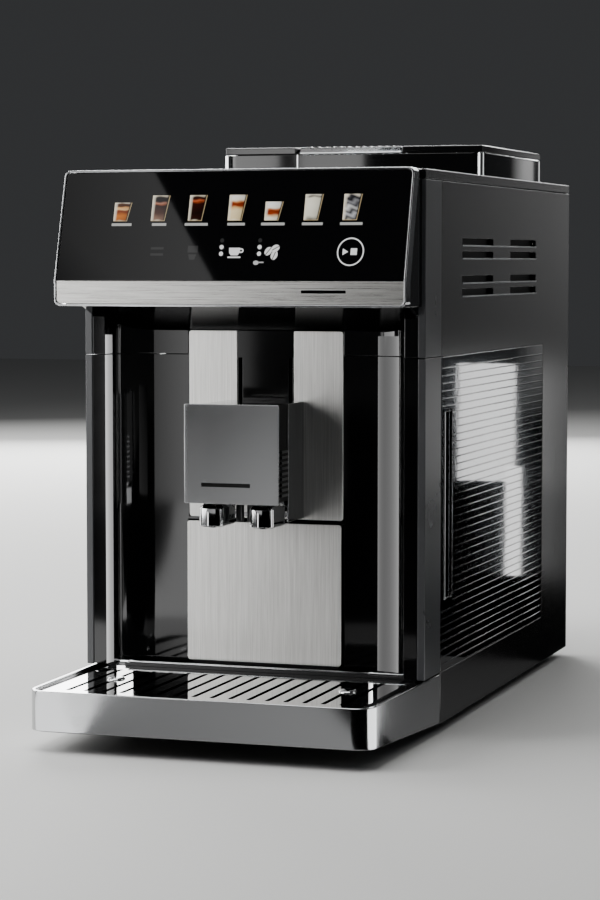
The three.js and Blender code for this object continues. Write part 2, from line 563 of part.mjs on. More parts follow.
function electrics(parent, switchGroup) {
  add(parent, "power_board", box(-100, 20, 398, 399.6, 190, 340), boardGreen);
  const x0 = rocker.x - rocker.halfX - 5;
  const x1 = inlet.x + inlet.halfX + 3;
  const y0 = 396;
  const pins = [[-5, 0], [0, 3.5], [5, 0]].map(([dx, dz]) =>
    box(inlet.x + dx - 1, inlet.x + dx + 1, y0 + 1, 412, inlet.z + dz - 2, inlet.z + dz + 2));
  const entry = cut(box(x0, x1, y0, body.rear - 0.2, 26, 56),
    box(inlet.x - 12, inlet.x + 12, 400, body.rear, inlet.z - 8.25, inlet.z + 8.25),
    box(rocker.x - rocker.halfX - 1, rocker.x + rocker.halfX + 1, 400, body.rear,
      rocker.z - rocker.halfZ - 1.8, rocker.z + rocker.halfZ + 1.8));
  add(parent, "power_entry", join(entry, ...pins), satinBlack);
  add(switchGroup, "power_switch", box(-rocker.halfX, rocker.halfX, -4, 5, -rocker.halfZ, rocker.halfZ),
    satinBlack, rocker.x, 409.5, rocker.z);
}

const housing = group(machine);
basePan(housing);
feet(housing);
sidePanels(housing);
rearCover(housing);
topCover(housing);
cornerTrims(housing);
frontFascia(housing);
backPlate(housing);
controlHead(housing);
headUnderside(housing);
hopperBlock(housing);
tankBay(housing);
grinderUnit(housing, group(machine));
brewUnit(housing, group(machine), group(machine));
waterCircuit(housing);
electrics(housing, group(machine));
lids(group(machine));
grindDial(group(machine));
serviceDoor(group(machine));

const trayBody = group(machine);
trayBody.grid = group(trayBody);
dripTray(trayBody);
groundsBin(trayBody);

const spoutBody = group(machine);
coffeeSpout(spoutBody);
spoutCover(group(spoutBody));

const tankBody = group(machine);
tankBody.valve = group(tankBody);
tankBody.lid = group(tankBody);
waterTank(tankBody);

export default machine;
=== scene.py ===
# Looks for the bean-to-cup coffee machine: finishes, fine shapes, display, lights and camera.
# Everything is in metres in the frame's own axes: +X right, +Y rear, +Z up.
import json
import math

import bmesh
import bpy
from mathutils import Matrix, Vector


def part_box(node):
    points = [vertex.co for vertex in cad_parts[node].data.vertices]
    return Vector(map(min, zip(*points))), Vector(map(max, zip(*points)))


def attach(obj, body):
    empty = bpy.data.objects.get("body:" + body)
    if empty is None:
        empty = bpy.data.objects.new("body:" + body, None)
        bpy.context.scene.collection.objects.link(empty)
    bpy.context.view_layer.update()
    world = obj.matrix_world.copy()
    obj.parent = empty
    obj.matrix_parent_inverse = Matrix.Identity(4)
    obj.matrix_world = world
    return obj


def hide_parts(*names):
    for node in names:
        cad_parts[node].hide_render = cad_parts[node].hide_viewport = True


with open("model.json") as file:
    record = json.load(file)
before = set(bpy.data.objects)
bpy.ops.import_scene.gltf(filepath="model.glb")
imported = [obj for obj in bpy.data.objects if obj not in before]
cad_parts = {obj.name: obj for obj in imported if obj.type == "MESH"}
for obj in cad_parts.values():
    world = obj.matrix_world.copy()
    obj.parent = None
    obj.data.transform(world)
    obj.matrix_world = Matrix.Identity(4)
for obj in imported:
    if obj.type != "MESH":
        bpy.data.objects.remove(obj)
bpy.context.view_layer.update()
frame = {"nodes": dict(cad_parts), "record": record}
mm = 0.001
bodyOf = {node: body for body, nodes in frame["record"]["behaviour"]["bodies"].items() for node in nodes}
slotOf = {row["node"]: row["material_slot"] for row in frame["record"]["subparts"]}
print("frame loaded:", len(frame["nodes"]), "nodes")


def boxMm(node):
    # the lowest and highest corners of a node, in mm
    return [tuple(c / mm for c in corner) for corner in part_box(node)]


def linear(hexColor):
    # sRGB hex to the linear colour that shaders use
    parts = [int(hexColor[i : i + 2], 16) / 255 for i in (0, 2, 4)]
    return tuple(c / 12.92 if c <= 0.04045 else ((c + 0.055) / 1.055) ** 2.4 for c in parts) + (1.0,)


def addNode(tree, kind, settings=None, inputs=None, links=None):
    # one node with its settings, input values and incoming links
    node = tree.nodes.new(kind)
    for key, value in (settings or {}).items():
        setattr(node, key, value)
    for key, value in (inputs or {}).items():
        node.inputs[key].default_value = value
    for key, source in (links or {}).items():
        tree.links.new(source, node.inputs[key])
    return node


def newMaterial(name, color, **sockets):
    # a Principled material, with socket names written as in the node: Roughness, Metallic...
    material = bpy.data.materials.new(name)
    material.use_nodes = True
    tree = material.node_tree
    shader = tree.nodes["Principled BSDF"]
    shader.inputs["Base Color"].default_value = linear(color)
    for key, value in sockets.items():
        shader.inputs[key.replace("_", " ")].default_value = value
    return material, tree, shader


def noiseAt(tree, spacingMm, stretch=(1, 1, 1), detail=2.0, roughness=0.5):
    # noise on object coordinates, one feature every spacingMm, drawn out along the axes with a small stretch
    coords = addNode(tree, "ShaderNodeTexCoord").outputs["Object"]
    mapping = addNode(tree, "ShaderNodeMapping", inputs={"Scale": stretch}, links={"Vector": coords})
    return addNode(
        tree,
        "ShaderNodeTexNoise",
        inputs={"Scale": 1 / (spacingMm * mm), "Detail": detail, "Roughness": roughness},
        links={"Vector": mapping.outputs["Vector"]},
    )


def addBump(tree, shader, height, depthMm):
    bump = addNode(tree, "ShaderNodeBump", inputs={"Distance": depthMm * mm}, links={"Height": height})
    tree.links.new(bump.outputs["Normal"], shader.inputs["Normal"])


def varyRoughness(tree, shader, factor, low, high):
    limits = {"To Min": low, "To Max": high}
    spread = addNode(tree, "ShaderNodeMapRange", inputs=limits, links={"Value": factor})
    tree.links.new(spread.outputs["Result"], shader.inputs["Roughness"])


def varyColor(tree, shader, factor, darkHex, lightHex, low=0.3, high=0.7):
    ramp = addNode(tree, "ShaderNodeValToRGB", links={"Fac": factor})
    ramp.color_ramp.elements[0].position = low
    ramp.color_ramp.elements[0].color = linear(darkHex)
    ramp.color_ramp.elements[1].position = high
    ramp.color_ramp.elements[1].color = linear(lightHex)
    tree.links.new(ramp.outputs["Color"], shader.inputs["Base Color"])


def plastic(name, color, lightColor, roughness, spread, grainMm, grainDepth):
    # moulded plastic: a fine tool grain, with cloudy patches where it has been wiped
    material, tree, shader = newMaterial(name, color, IOR=1.5)
    clouds = noiseAt(tree, 45, detail=3.0)
    varyRoughness(tree, shader, clouds.outputs["Fac"], roughness - spread, roughness + spread)
    varyColor(tree, shader, clouds.outputs["Fac"], color, lightColor)
    addBump(tree, shader, noiseAt(tree, grainMm, detail=1.0).outputs["Fac"], grainDepth)
    return material


def brushedMetal(name, color, lightColor, stretch, lineMm, roughness):
    # ground with a belt: hair lines along one axis, drawn coarser than the real 0.05 mm so that they show
    material, tree, shader = newMaterial(name, color, Metallic=1.0)
    lines = noiseAt(tree, lineMm, stretch, detail=3.0, roughness=0.7)
    varyRoughness(tree, shader, lines.outputs["Fac"], roughness - 0.07, roughness + 0.1)
    varyColor(tree, shader, lines.outputs["Fac"], color, lightColor)
    addBump(tree, shader, lines.outputs["Fac"], 0.006)
    return material


def platedMetal(name, color, roughness, spread):
    # polished or plated metal: clean, with only a breath of haze and a very slight waviness
    material, tree, shader = newMaterial(name, color, Metallic=1.0)
    haze = noiseAt(tree, 30, detail=4.0)
    varyRoughness(tree, shader, haze.outputs["Fac"], max(roughness - spread, 0.01), roughness + spread)
    addBump(tree, shader, noiseAt(tree, 60, detail=0.0).outputs["Fac"], 0.02)
    return material


finishes = {
    # high-gloss ABS, polished mould: near-black with sharp reflections
    "glossBlackAbs": plastic("glossBlackAbs", "050506", "09090a", 0.06, 0.02, 9, 0.001),
    # satin ABS, fine spark-eroded mould: soft reflections
    "satinBlackAbs": plastic("satinBlackAbs", "0b0c0d", "0f1011", 0.24, 0.012, 2.2, 0.0006),
    # dark grey metallic lacquer on the corner strips
    "greyLacquer": plastic("greyLacquer", "3a3b3d", "424346", 0.28, 0.02, 2.0, 0.0008),
    # coarse-grained grey polypropylene of inner working parts
    "greyPolypropylene": plastic("greyPolypropylene", "5a5d60", "6b6f72", 0.45, 0.06, 0.6, 0.01),
    # moulded rubber: matt and a little dusty, with almost no highlight
    "blackRubber": plastic("blackRubber", "101010", "191919", 0.75, 0.06, 0.8, 0.02),
    # silicone of the outlet tips: a soft, slightly oily sheen
    "blackSilicone": plastic("blackSilicone", "0a0a0b", "101011", 0.35, 0.05, 0.8, 0.004),
    # stainless sheet, belt-brushed upright: the lines spread highlights sideways
    "steelBrushedUpright": brushedMetal("steelBrushedUpright", "bdbcb9", "dddcd9", (1, 1, 0.012), 0.55, 0.33),
    # the same sheet brushed along its length, for the strip under the glass
    "steelBrushedAcross": brushedMetal("steelBrushedAcross", "9a9996", "c2c1be", (0.012, 1, 1), 0.5, 0.27),
    # mirror-polished stainless: near-black or white as it reflects
    "steelPolished": platedMetal("steelPolished", "c4c4c3", 0.05, 0.02),
    # satin-chromed ABS trim: silver, with reflections softened at their edges
    "satinChrome": platedMetal("satinChrome", "b9babb", 0.13, 0.03),
    # bright chrome plate: a clean mirror
    "brightChrome": platedMetal("brightChrome", "d4d5d6", 0.04, 0.02),
    # tumbled aluminium casting: a dull, even silver
    "castAluminium": platedMetal("castAluminium", "9fa1a3", 0.38, 0.08),
    # drawn copper of the boiler, slightly tarnished
    "copperShell": platedMetal("copperShell", "a9683f", 0.3, 0.1),
}


def clearPlastic(name, tint, roughness):
    # clear SAN, polished mould: see-through, darkened by its tint, with sharp surface reflections
    surface = {"Roughness": roughness, "Coat_Weight": 0.3, "Coat_Roughness": 0.03}
    material, tree, shader = newMaterial(name, tint, IOR=1.52, Transmission_Weight=1.0, **surface)
    addBump(tree, shader, noiseAt(tree, 14, detail=2.0).outputs["Fac"], 0.02)
    return material


finishes["smokedClear"] = clearPlastic("smokedClear", "8f9499", 0.04)
finishes["clearLid"] = clearPlastic("clearLid", "c3c7ca", 0.05)


def panelGlass():
    # 3 mm glass printed black on its back: deep black with a sharp reflection
    material, tree, shader = newMaterial("blackPanelGlass", "020203", Roughness=0.025, IOR=1.52)
    varyRoughness(tree, shader, noiseAt(tree, 25, detail=3.0).outputs["Fac"], 0.015, 0.04)
    return material


def circuitBoard():
    # green solder mask with paler tracks in a grid
    material, tree, shader = newMaterial("solderMaskGreen", "0f3a20", Roughness=0.35, IOR=1.5)
    coords = addNode(tree, "ShaderNodeTexCoord")
    tracks = addNode(
        tree,
        "ShaderNodeTexBrick",
        inputs={"Scale": 120.0, "Mortar Size": 0.01, "Color1": linear("0f3a20"), "Color2": linear("12452a"),
                "Mortar": linear("2f6a3c")},
        links={"Vector": coords.outputs["Object"]},
    )
    tree.links.new(tracks.outputs["Color"], shader.inputs["Base Color"])
    return material


finishes["panelGlass"] = panelGlass()
finishes["solderMask"] = circuitBoard()

# which finish each of the record's slots takes
finishOfSlot = {
    "gloss_black": "glossBlackAbs",
    "satin_black": "satinBlackAbs",
    "edge_grey": "greyLacquer",
    "silver_trim": "satinChrome",
    "brushed_steel": "steelBrushedUpright",
    "polished_steel": "steelPolished",
    "chrome": "brightChrome",
    "control_glass": "panelGlass",
    "smoked_clear": "smokedClear",
    "rubber": "blackRubber",
    "circuit_board": "solderMask",
    "aluminium": "castAluminium",
    "grey_plastic": "greyPolypropylene",
    "boiler_copper": "copperShell",
}
print("finishes made:", len(finishes))


def assign(piece, finishName):
    piece.data.materials.clear()
    piece.data.materials.append(finishes[finishName])


def smoothByAngle(mesh, degrees=32):
    # smooth shading with sharp edges where faces meet at more than this angle
    bm = bmesh.new()
    bm.from_mesh(mesh)
    limit = math.radians(degrees)
    for face in bm.faces:
        face.smooth = True
    for edge in bm.edges:
        if len(edge.link_faces) == 2:
            edge.smooth = edge.calc_face_angle(0) < limit
    bm.to_mesh(mesh)
    bm.free()


def addPiece(name, bm, like, finishName=None, replace=True):
    # a finished piece that rides on the body of the CAD node it stands for or sits on
    mesh = bpy.data.meshes.new(name)
    bm.to_mesh(mesh)
    bm.free()
    piece = bpy.data.objects.new(name, mesh)
    bpy.context.scene.collection.objects.link(piece)
    assign(piece, finishName or finishOfSlot[slotOf[like]])
    smoothByAngle(mesh)
    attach(piece, bodyOf[like])
    if replace:
        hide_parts(like)
    return piece


def bevelled(piece, width, segments=3, angle=40):
    # rounds the sharp edges, so that they catch a line of light
    bevel = piece.modifiers.new("edgeRound", "BEVEL")
    bevel.width = width * mm
    bevel.segments = segments
    bevel.limit_method = "ANGLE"
    bevel.angle_limit = math.radians(angle)
    bevel.harden_normals = True
    bevel.use_clamp_overlap = True
    return piece


def copyOfNode(node):
    # the node's mesh merged and freed of the lines across its flat faces
    bm = bmesh.new()
    bm.from_mesh(frame["nodes"][node].data)
    bmesh.ops.remove_doubles(bm, verts=bm.verts, dist=2e-6)
    bmesh.ops.dissolve_limit(bm, angle_limit=math.radians(0.6), verts=bm.verts, edges=bm.edges)
    return bm


def refined(node, width, finishName=None):
    # stands for a CAD node, in the same shape with its edges rounded
    return bevelled(addPiece(node + "_fine", copyOfNode(node), node, finishName), width)


# every CAD node starts with its slot's finish; the pieces below replace the ones that show
for node, obj in frame["nodes"].items():
    obj.data.materials.clear()
    obj.data.materials.append(finishes[finishOfSlot[slotOf[node]]])

edgeRounds = {
    # node: edge radius in mm
    "base_pan": 0.6,
    "foot_front_left": 1.0,
    "foot_front_right": 1.0,
    "foot_rear_left": 1.0,
    "foot_rear_right": 1.0,
    "left_side_panel": 0.5,
    "right_side_panel": 0.5,
    "service_door": 0.4,
    "rear_cover": 0.5,
    "top_cover": 0.8,
    "lower_left_trim": 0.6,
    "lower_right_trim": 0.6,
    "upper_left_trim": 0.6,
    "upper_right_trim": 0.6,
    "lower_fascia": 0.5,
    "upper_fascia": 0.5,
    "upper_steel_plate": 0.25,
    "spout_guide": 0.2,
    "panel_bezel": 0.35,
    "control_glass": 0.3,
    "steel_trim_strip": 0.2,
    "head_shell": 0.6,
    "head_underside": 0.4,
    "hopper_frame": 0.6,
    "bean_hopper": 0.4,
    "ground_coffee_chute": 0.4,
    "ground_coffee_lid": 0.8,
    "bean_lid": 0.8,
    "accessory_lid": 0.8,
    "grind_dial": 0.5,
    "spout_shroud": 0.3,
    "spout_cover": 0.3,
    "spout_face_plate": 0.3,
    "tray_band": 0.7,
    "drip_tray": 0.5,
    "drip_grid": 0.4,
    "grounds_bin": 0.5,
    "bin_front_plate": 0.3,
    "water_tank": 0.6,
    "tank_lid": 0.7,
    "power_switch": 0.6,
    "power_entry": 0.5,
}
# pieces whose finish differs from their slot's
otherFinish = {"steel_trim_strip": "steelBrushedAcross", "bean_lid": "clearLid"}
for node, width in edgeRounds.items():
    refined(node, width, otherFinish.get(node))
print("edges rounded on", len(edgeRounds), "pieces")


def growTree(name, finishName):
    # rows of round bars: Count bars of the given Size, a Step apart from Start, each lying along Turn's axis
    tree = bpy.data.node_groups.new(name, "GeometryNodeTree")
    face = tree.interface
    for label, kind in (
        ("Start", "NodeSocketVector"),
        ("Step", "NodeSocketVector"),
        ("Size", "NodeSocketVector"),
        ("Turn", "NodeSocketVector"),
        ("Count", "NodeSocketInt"),
        ("Sides", "NodeSocketInt"),
    ):
        face.new_socket(label, in_out="INPUT", socket_type=kind)
    face.new_socket("Geometry", in_out="OUTPUT", socket_type="NodeSocketGeometry")
    given = tree.nodes.new("NodeGroupInput").outputs
    bar = addNode(
        tree,
        "GeometryNodeMeshCylinder",
        {"fill_type": "NGON"},
        {"Radius": 0.5, "Depth": 1.0},
        {"Vertices": given["Sides"]},
    )
    turned = addNode(
        tree, "GeometryNodeTransform", links={"Geometry": bar.outputs["Mesh"], "Rotation": given["Turn"]}
    )
    sized = addNode(
        tree, "GeometryNodeTransform", links={"Geometry": turned.outputs["Geometry"], "Scale": given["Size"]}
    )
    row = addNode(
        tree,
        "GeometryNodeMeshLine",
        {"mode": "OFFSET"},
        links={"Count": given["Count"], "Start Location": given["Start"], "Offset": given["Step"]},
    )
    placed = addNode(
        tree,
        "GeometryNodeInstanceOnPoints",
        links={"Points": row.outputs["Mesh"], "Instance": sized.outputs["Geometry"]},
    )
    real = addNode(tree, "GeometryNodeRealizeInstances", links={"Geometry": placed.outputs["Instances"]})
    painted = addNode(
        tree,
        "GeometryNodeSetMaterial",
        inputs={"Material": finishes[finishName]},
        links={"Geometry": real.outputs["Geometry"]},
    )
    out = tree.nodes.new("NodeGroupOutput")
    tree.links.new(painted.outputs["Geometry"], out.inputs["Geometry"])
    return tree


def growMesh(tree, **values):
    # the evaluated tree as a plain mesh; the values are set by socket identifier before the first evaluation
    holder = bpy.data.objects.new("grower", bpy.data.meshes.new("grower"))
    bpy.context.scene.collection.objects.link(holder)
    grow = holder.modifiers.new("grow", "NODES")
    grow.node_group = tree
    for socket in tree.interface.items_tree:
        if socket.in_out == "INPUT" and socket.name in values:
            grow[socket.identifier] = values[socket.name]
    evaluated = holder.evaluated_get(bpy.context.evaluated_depsgraph_get())
    mesh = bpy.data.meshes.new_from_object(evaluated)
    holder.modifiers.remove(grow)
    bpy.data.objects.remove(holder)
    return mesh


alongX = (0.0, math.pi / 2, 0.0)
alongY = (math.pi / 2, 0.0, 0.0)
alongZ = (0.0, 0.0, 0.0)


def growBars(name, like, finishName, rows, turn, sides=12):
    # one piece of bars that rides with a CAD node; each row is (start, step, size, count) in mm
    tree = growTree(name + "Tree", finishName)
    bm = bmesh.new()
    for start, step, size, count in rows:
        mesh = growMesh(
            tree,
            Start=[c * mm for c in start],
            Step=[c * mm for c in step],
            Size=[c * mm for c in size],
            Turn=turn,
            Count=count,
            Sides=sides,
        )
        bm.from_mesh(mesh)
        bpy.data.meshes.remove(mesh)
    return addPiece(name, bm, like, finishName, replace=False)


def frontOf(node):
    # the largest flat face of a node that looks forward: its lowest corner and its normal
    bm = copyOfNode(node)
    bm.normal_update()
    face = max((f for f in bm.faces if f.normal.y < -0.5), key=lambda f: f.calc_area())
    lowest = min((vert.co for vert in face.verts), key=lambda co: co.z)
    found = {"normal": face.normal.copy(), "corner": lowest.copy()}
    bm.free()
    return found


glassFront = frontOf("control_glass")


def glassPoint(x, z, out=0.0):
    # a point on the control glass at a height above the floor, set out from it by some metres
    corner, normal = glassFront["corner"], glassFront["normal"]
    y = corner.y - (normal.z * (z - corner.z)) / normal.y
    return Vector((x, y, z)) + normal * out


def screenInk(name, attribute, glow):
    # lit printing under the glass: each spot takes its colour from the piece's own attribute
    material, tree, shader = newMaterial(name, "000000", Roughness=0.03, Emission_Strength=glow)
    ink = addNode(tree, "ShaderNodeAttribute", {"attribute_name": attribute})
    tree.links.new(ink.outputs["Color"], shader.inputs["Emission Color"])
    return material


finishes["screenPicture"] = screenInk("screenPicture", "ink", 1.0)
screen = {
    "proud": 0.00006,  # how far a picture stands out of the glass
    "pictureZ": 342.2,  # foot of the pictures
    "tall": 16.8,
    "short": 12.2,
    "footWidth": 9.6,
    "rimWidth": 12.2,
    "columns": 14,
    "rowsUp": 26,
    "swirl": 0.3,  # how wavy the layers are
    "lastSwirl": 1.0,  # the iced drink's cubes
    "labelZ": 340.8,
    "labelHeight": 1.7,
    "labelInk": "b9b9b6",
}
# each drink: its centre, whether it is tall, its label's width, and its colours from the foot up
drinks = [
    (-76.9, False, 14, [(0, "e9d3ae"), (0.07, "b0611c"), (0.3, "c9701f"), (0.5, "7a3208"), (0.58, "8d3c0c"),
                        (0.62, "f0c48a"), (0.74, "e8a968"), (0.8, "3b1a0a"), (0.94, "57331c"), (1, "f4e9d6")]),
    (-50.4, True, 10, [(0, "efe2cb"), (0.06, "8a6a58"), (0.3, "4a2f26"), (0.6, "2a1814"), (0.66, "9b5a3c"),
                       (0.7, "b8806a"), (0.75, "1c1110"), (0.93, "120c0a"), (1, "e9dcc4")]),
    (-24.4, True, 16, [(0, "f0e4cc"), (0.06, "2a0f08"), (0.3, "180805"), (0.68, "2c0c05"), (0.76, "a0401a"),
                       (0.8, "c2603a"), (0.84, "3a120a"), (0.93, "221009"), (1, "efe0c6")]),
    (3.2, True, 12, [(0, "fff3d6"), (0.08, "f0d9a6"), (0.4, "f5dfae"), (0.5, "e8b878"), (0.58, "8e2f0c"),
                     (0.68, "7a2409"), (0.74, "d88d52"), (0.8, "fbeed4"), (0.93, "fffaf0"), (1, "e8dcc8")]),
    (28.4, False, 16, [(0, "fbf0da"), (0.14, "fdf4e2"), (0.26, "e6b98a"), (0.36, "96350f"), (0.52, "7e2408"),
                       (0.6, "c87a48"), (0.68, "fff6e6"), (0.92, "ffffff"), (1, "efe7d9")]),
    (55.2, True, 14, [(0, "3a3834"), (0.1, "b9b5a4"), (0.18, "e9e4d0"), (0.6, "f6f1de"), (0.86, "efe9d4"),
                      (0.92, "4b4741"), (1, "f2ead8")]),
    (81.4, True, 15, [(0, "9b9890"), (0.08, "26262a"), (0.22, "c9c9cc"), (0.34, "1c1c20"), (0.5, "d8d8d6"),
                      (0.6, "3a3a40"), (0.72, "8f8f92"), (0.82, "121216"), (0.92, "3a3a3e"), (1, "efe6d4")]),
]


def mixHex(stops, at):
    # the linear colour at a height between two of the stops
    for (low, lowHex), (high, highHex) in zip(stops, stops[1:]):
        if at <= high:
            share = (at - low) / (high - low)
            return [a + (b - a) * share for a, b in zip(linear(lowHex), linear(highHex))]
    return list(linear(stops[-1][1]))


def inkAt(stops, across, up, swirl):
    # a drink in its glass: a bright left wall that fades into the drink, and a thin slanted right wall
    cream, rim, gapInk = linear("fff4dc"), linear("c4ae86"), linear("0b0908")
    if up < 0.03 or across > 0.94:
        return rim
    if across > 0.87:
        return gapInk
    lift = up + swirl * 0.06 * math.sin(across * 9.0 + up * 14.0) + 0.05 * (across - 0.45) ** 2
    drink = mixHex(stops, min(max(lift, 0.0), 1.0))
    shade = 1.1 - 0.55 * across ** 2
    wallShare = max(0.0, 1.0 - across / 0.2) ** 0.6
    return [c * shade * (1 - wallShare) + w * wallShare for c, w in zip(drink[:3], cream)] + [1.0]


def slabOnGlass(bm, layer, rows, inks):
    # a thin closed slab on the glass from a grid of (x, z) in mm, with one ink for each grid point
    made = []
    for out in (screen["proud"], 0.0):
        made.append([[bm.verts.new(glassPoint(x * mm, z * mm, out)) for x, z in row] for row in rows])
    front, back = made
    for side in made:
        for row, colors in zip(side, inks):
            for vert, color in zip(row, colors):
                vert[layer] = color
    last, end = len(rows) - 1, len(rows[0]) - 1
    for i in range(last):
        for j in range(end):
            bm.faces.new((front[i][j], front[i][j + 1], front[i + 1][j + 1], front[i + 1][j]))
            bm.faces.new((back[i][j], back[i + 1][j], back[i + 1][j + 1], back[i][j + 1]))
    rim = [(0, j) for j in range(end)] + [(i, end) for i in range(last)]
    rim += [(last, j) for j in range(end, 0, -1)] + [(i, 0) for i in range(last, 0, -1)]
    for (i, j), (k, m) in zip(rim, rim[1:] + rim[:1]):
        bm.faces.new((front[i][j], back[i][j], back[k][m], front[k][m]))


def ringSlab(bm, layer, centre, outer, inner, ink, steps=40):
    # a flat ring on the glass, closed all round; an inner size of zero makes a disc or an oval
    made = []
    for out in (screen["proud"], 0.0):
        for rx, rz in (outer, inner):
            made.append([])
            for n in range(steps):
                turn = 2 * math.pi * n / steps
                x, z = centre[0] + rx * math.cos(turn), centre[1] + rz * math.sin(turn)
                made[-1].append(bm.verts.new(glassPoint(x * mm, z * mm, out)))
                made[-1][-1][layer] = linear(ink)
    frontOuter, frontInner, backOuter, backInner = made
    for n in range(steps):
        k = (n + 1) % steps
        bm.faces.new((frontInner[n], frontOuter[n], frontOuter[k], frontInner[k]))
        bm.faces.new((backOuter[n], backInner[n], backInner[k], backOuter[k]))
        bm.faces.new((frontOuter[n], backOuter[n], backOuter[k], frontOuter[k]))
        bm.faces.new((backInner[n], frontInner[n], frontInner[k], backInner[k]))


def flatSlab(bm, layer, outline, ink):
    # a thin closed slab of a convex outline of (x, z) in mm
    rings = []
    for out in (screen["proud"], 0.0):
        rings.append([bm.verts.new(glassPoint(x * mm, z * mm, out)) for x, z in outline])
        for vert in rings[-1]:
            vert[layer] = linear(ink)
    front, back = rings
    bm.faces.new(front)
    bm.faces.new(list(reversed(back)))
    for n in range(len(outline)):
        k = (n + 1) % len(outline)
        bm.faces.new((front[n], back[n], back[k], front[k]))


def discOutline(cx, cz, rx, rz, steps):
    turns = [2 * math.pi * n / steps for n in range(steps)]
    return [(cx + rx * math.cos(turn), cz + rz * math.sin(turn)) for turn in turns]


def halfBean(cx, cz, lean, start):
    # half an oval, cut along its crease and leaning over by an angle
    points = []
    for n in range(bean["steps"]):
        turn = start + bean["crease"] + (math.pi - 2 * bean["crease"]) * n / (bean["steps"] - 1)
        x, z = bean["long"] * math.cos(turn), bean["short"] * math.sin(turn)
        across, up = x * math.cos(lean) - z * math.sin(lean), x * math.sin(lean) + z * math.cos(lean)
        points.append((cx + across, cz + up))
    return points


def rectOutline(x0, x1, z0, z1):
    return [(x0, z0), (x1, z0), (x1, z1), (x0, z1)]


litInk, softInk, dimInk = "ffffff", "c9c9c9", "2e2e2e"
bean = {
    "places": ((27.0, 322.4, 0.9), (31.6, 324.2, 0.5), (31.2, 319.8, 1.2)),
    "long": 3.0,
    "short": 2.2,
    "crease": 0.12,  # angle left open on each side of the crease
    "steps": 12,
    "ink": "f4f4f2",
}
signRings = [
    # (centre, outer radii, inner radii, steps)
    ((82.5, 322.0), (9.0, 9.0), (8.2, 8.2), 64),  # round the start and stop marks
    ((8.3, 322.8), (1.7, 1.5), (0.9, 0.7), 20),  # the cup's handle
]
signs = [
    # start and stop marks
    ([(77.3, 319.9), (81.0, 322.0), (77.3, 324.1)], litInk),
    (rectOutline(82.6, 86.8, 320.0, 324.2), litInk),
    # cup on a saucer
    ([(0.2, 321.6), (1.4, 319.8), (6.2, 319.8), (7.4, 321.6), (7.6, 324.6), (0.0, 324.6)], litInk),
    (rectOutline(-0.6, 8.2, 318.1, 319.0), litInk),
    # small scoop of ground coffee
    (discOutline(19.2, 315.0, 1.9, 1.4, 16), softInk),
    (rectOutline(21.2, 24.4, 314.9, 315.6), softInk),
    # unlit functions: two short lines and a small box with a cup
    (rectOutline(-54.5, -45.5, 319.6, 321.1), dimInk),
    (rectOutline(-54.5, -45.5, 323.6, 325.1), dimInk),
    (rectOutline(-28.6, -21.6, 321.6, 326.0), dimInk),
    ([(-28.0, 320.4), (-27.0, 317.0), (-23.4, 317.0), (-22.4, 320.4)], dimInk),
]
# strength and volume dots: one dim, two lit
for x in (-5.3, 20.8):
    for z, ink in ((329.4, dimInk), (325.1, litInk), (320.8, litInk)):
        signs.append((discOutline(x, z, 1.4, 1.4, 18), ink))


def makeDisplay():
    bm = bmesh.new()
    layer = bm.verts.layers.float_color.new("ink")
    columns, rowsUp = screen["columns"], screen["rowsUp"]
    for centre, tall, labelWidth, stops in drinks:
        swirl = screen["lastSwirl"] if stops is drinks[-1][-1] else screen["swirl"]
        height = screen["tall"] if tall else screen["short"]
        left = centre - screen["rimWidth"] / 2
        rows, inks = [], []
        for i in range(rowsUp + 1):
            up = i / rowsUp
            width = screen["footWidth"] + (screen["rimWidth"] - screen["footWidth"]) * up
            z = screen["pictureZ"] + height * up
            rows.append([(left + width * j / columns, z) for j in range(columns + 1)])
            inks.append([inkAt(stops, j / columns, up, swirl) for j in range(columns + 1)])
        slabOnGlass(bm, layer, rows, inks)
        z = screen["labelZ"]
        outline = rectOutline(centre - labelWidth / 2, centre + labelWidth / 2, z - screen["labelHeight"], z)
        flatSlab(bm, layer, outline, screen["labelInk"])
    for centre, outer, inner, steps in signRings:
        ringSlab(bm, layer, centre, outer, inner, litInk, steps)
    for outline, ink in signs:
        flatSlab(bm, layer, outline, ink)
    for cx, cz, lean in bean["places"]:
        for start in (0.0, math.pi):
            flatSlab(bm, layer, halfBean(cx, cz, lean, start), bean["ink"])
    piece = addPiece("display_pictures", bm, "control_glass", "screenPicture", replace=False)
    for polygon in piece.data.polygons:
        polygon.use_smooth = False


makeDisplay()
print("display drawn:", len(drinks), "drinks")

tankRibs = {
    "pitch": 5.1,
    "rise": 0.35,
    "tall": 0.9,
    "foot": 46.0,
    "top": 252.0,
    "pocket": (9.1, 27.1),  # the grip pocket, measured back from the tank's front edge
    "pocketLow": 88.0,
    "pocketHigh": 216.5,
    "lip": (1.2, 1.4),
}


